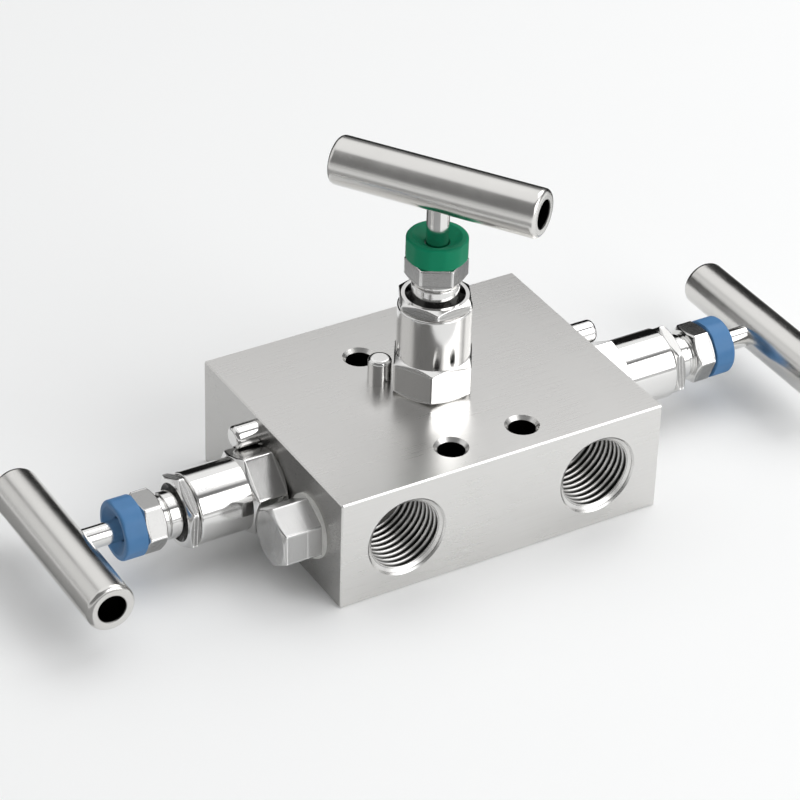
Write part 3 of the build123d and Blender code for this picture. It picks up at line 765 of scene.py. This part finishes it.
def card(name, sector, radii, heights, level):
    """Curved card round the part, from one radius and height to another, which only reflections show."""
    angles = np.radians(np.linspace(*sector, CARD_STEPS))
    outline = np.stack([np.cos(angles), np.sin(angles)], -1)
    rows = [np.column_stack([outline * r, np.full(CARD_STEPS, z)]) for r, z in zip(radii, heights)]
    near = np.arange(CARD_STEPS - 1)
    faces = np.stack([near + 1, near, near + CARD_STEPS, near + CARD_STEPS + 1], -1)
    points, grey = np.concatenate(rows).tolist(), (level, level, level)
    obj = paper_sheet(name, points, faces.tolist(), name, grey, rough=1.0)
    obj.visible_camera = False
    obj.visible_diffuse = False
    obj.visible_shadow = False


def direction(azimuth, height):
    """Direction of length one at an azimuth and a height angle, both in degrees."""
    a, h = math.radians(azimuth), math.radians(height)
    return np.array([math.cos(a) * math.cos(h), math.sin(a) * math.cos(h), math.sin(h)])


def aim(obj, place, back, roll=0.0):
    """Put an object at a place, its back turned one way and its right side level before the roll."""
    level = unit(np.cross((0, 0, 1), back))
    rise = np.cross(back, level)
    right = level * math.cos(roll) + rise * math.sin(roll)
    up = rise * math.cos(roll) - level * math.sin(roll)
    turn = Matrix(np.column_stack([right, up, back]).tolist()).to_4x4()
    obj.matrix_world = Matrix.Translation(place) @ turn


def softbox(name, place, size, power):
    """Square area lamp that faces the part from a place."""
    lamp = bpy.data.lights.new(name, "AREA")
    lamp.shape = "SQUARE"
    lamp.size = size
    lamp.energy = power
    obj = bpy.data.objects.new(name, lamp)
    bpy.context.scene.collection.objects.link(obj)
    aim(obj, place, unit(np.array(place, float) - np.array(LAMP_TARGET, float)))


def camera():
    """Long-lens camera at the front left, looking down on the block, with a slight roll."""
    data = bpy.data.cameras.new("camera")
    data.sensor_width = SENSOR
    data.lens = LENS
    data.clip_start = 0.01
    data.clip_end = 50
    obj = bpy.data.objects.new("camera", data)
    bpy.context.scene.collection.objects.link(obj)
    aim(obj, CAMERA_PLACE, direction(CAMERA_AZIMUTH, CAMERA_HEIGHT), math.radians(CAMERA_ROLL))
    bpy.context.scene.camera = obj


def studio_world():
    """Surroundings by direction: a dim room with a pale horizon, and large soft panels of light.

    Each panel is (azimuth, height angle, angle where it is full, angle where it ends, level), in degrees.
    """
    world = bpy.data.worlds.new("studio")
    bpy.context.scene.world = world
    world.use_nodes = True
    tree = world.node_tree
    way = add(tree, "ShaderNodeTexCoord").outputs["Generated"]
    up = add(tree, "ShaderNodeSeparateXYZ", {"Vector": way}).outputs["Z"]
    level = graded(tree, up, *HORIZON_EDGE, HORIZON, ROOM)
    for azimuth, height, full, end, strength in PANELS:
        sockets = {0: way, 1: direction(azimuth, height)}
        toward = add(tree, "ShaderNodeVectorMath", sockets, operation="DOT_PRODUCT").outputs["Value"]
        edge, middle = math.cos(math.radians(end)), math.cos(math.radians(full))
        panel = graded(tree, toward, edge, middle, end=strength, interpolation_type="SMOOTHSTEP")
        level = combined(tree, "MAXIMUM", level, panel)
    tree.links.new(level, tree.nodes["Background"].inputs["Color"])


floor()
for name, (sector, radii, heights, level) in CARDS.items():
    card(name, sector, radii, heights, level)
studio_world()
for name, (place, size, power) in LAMPS.items():
    softbox(name, place, size, power)
camera()
bpy.context.scene.view_settings.view_transform = "Standard"
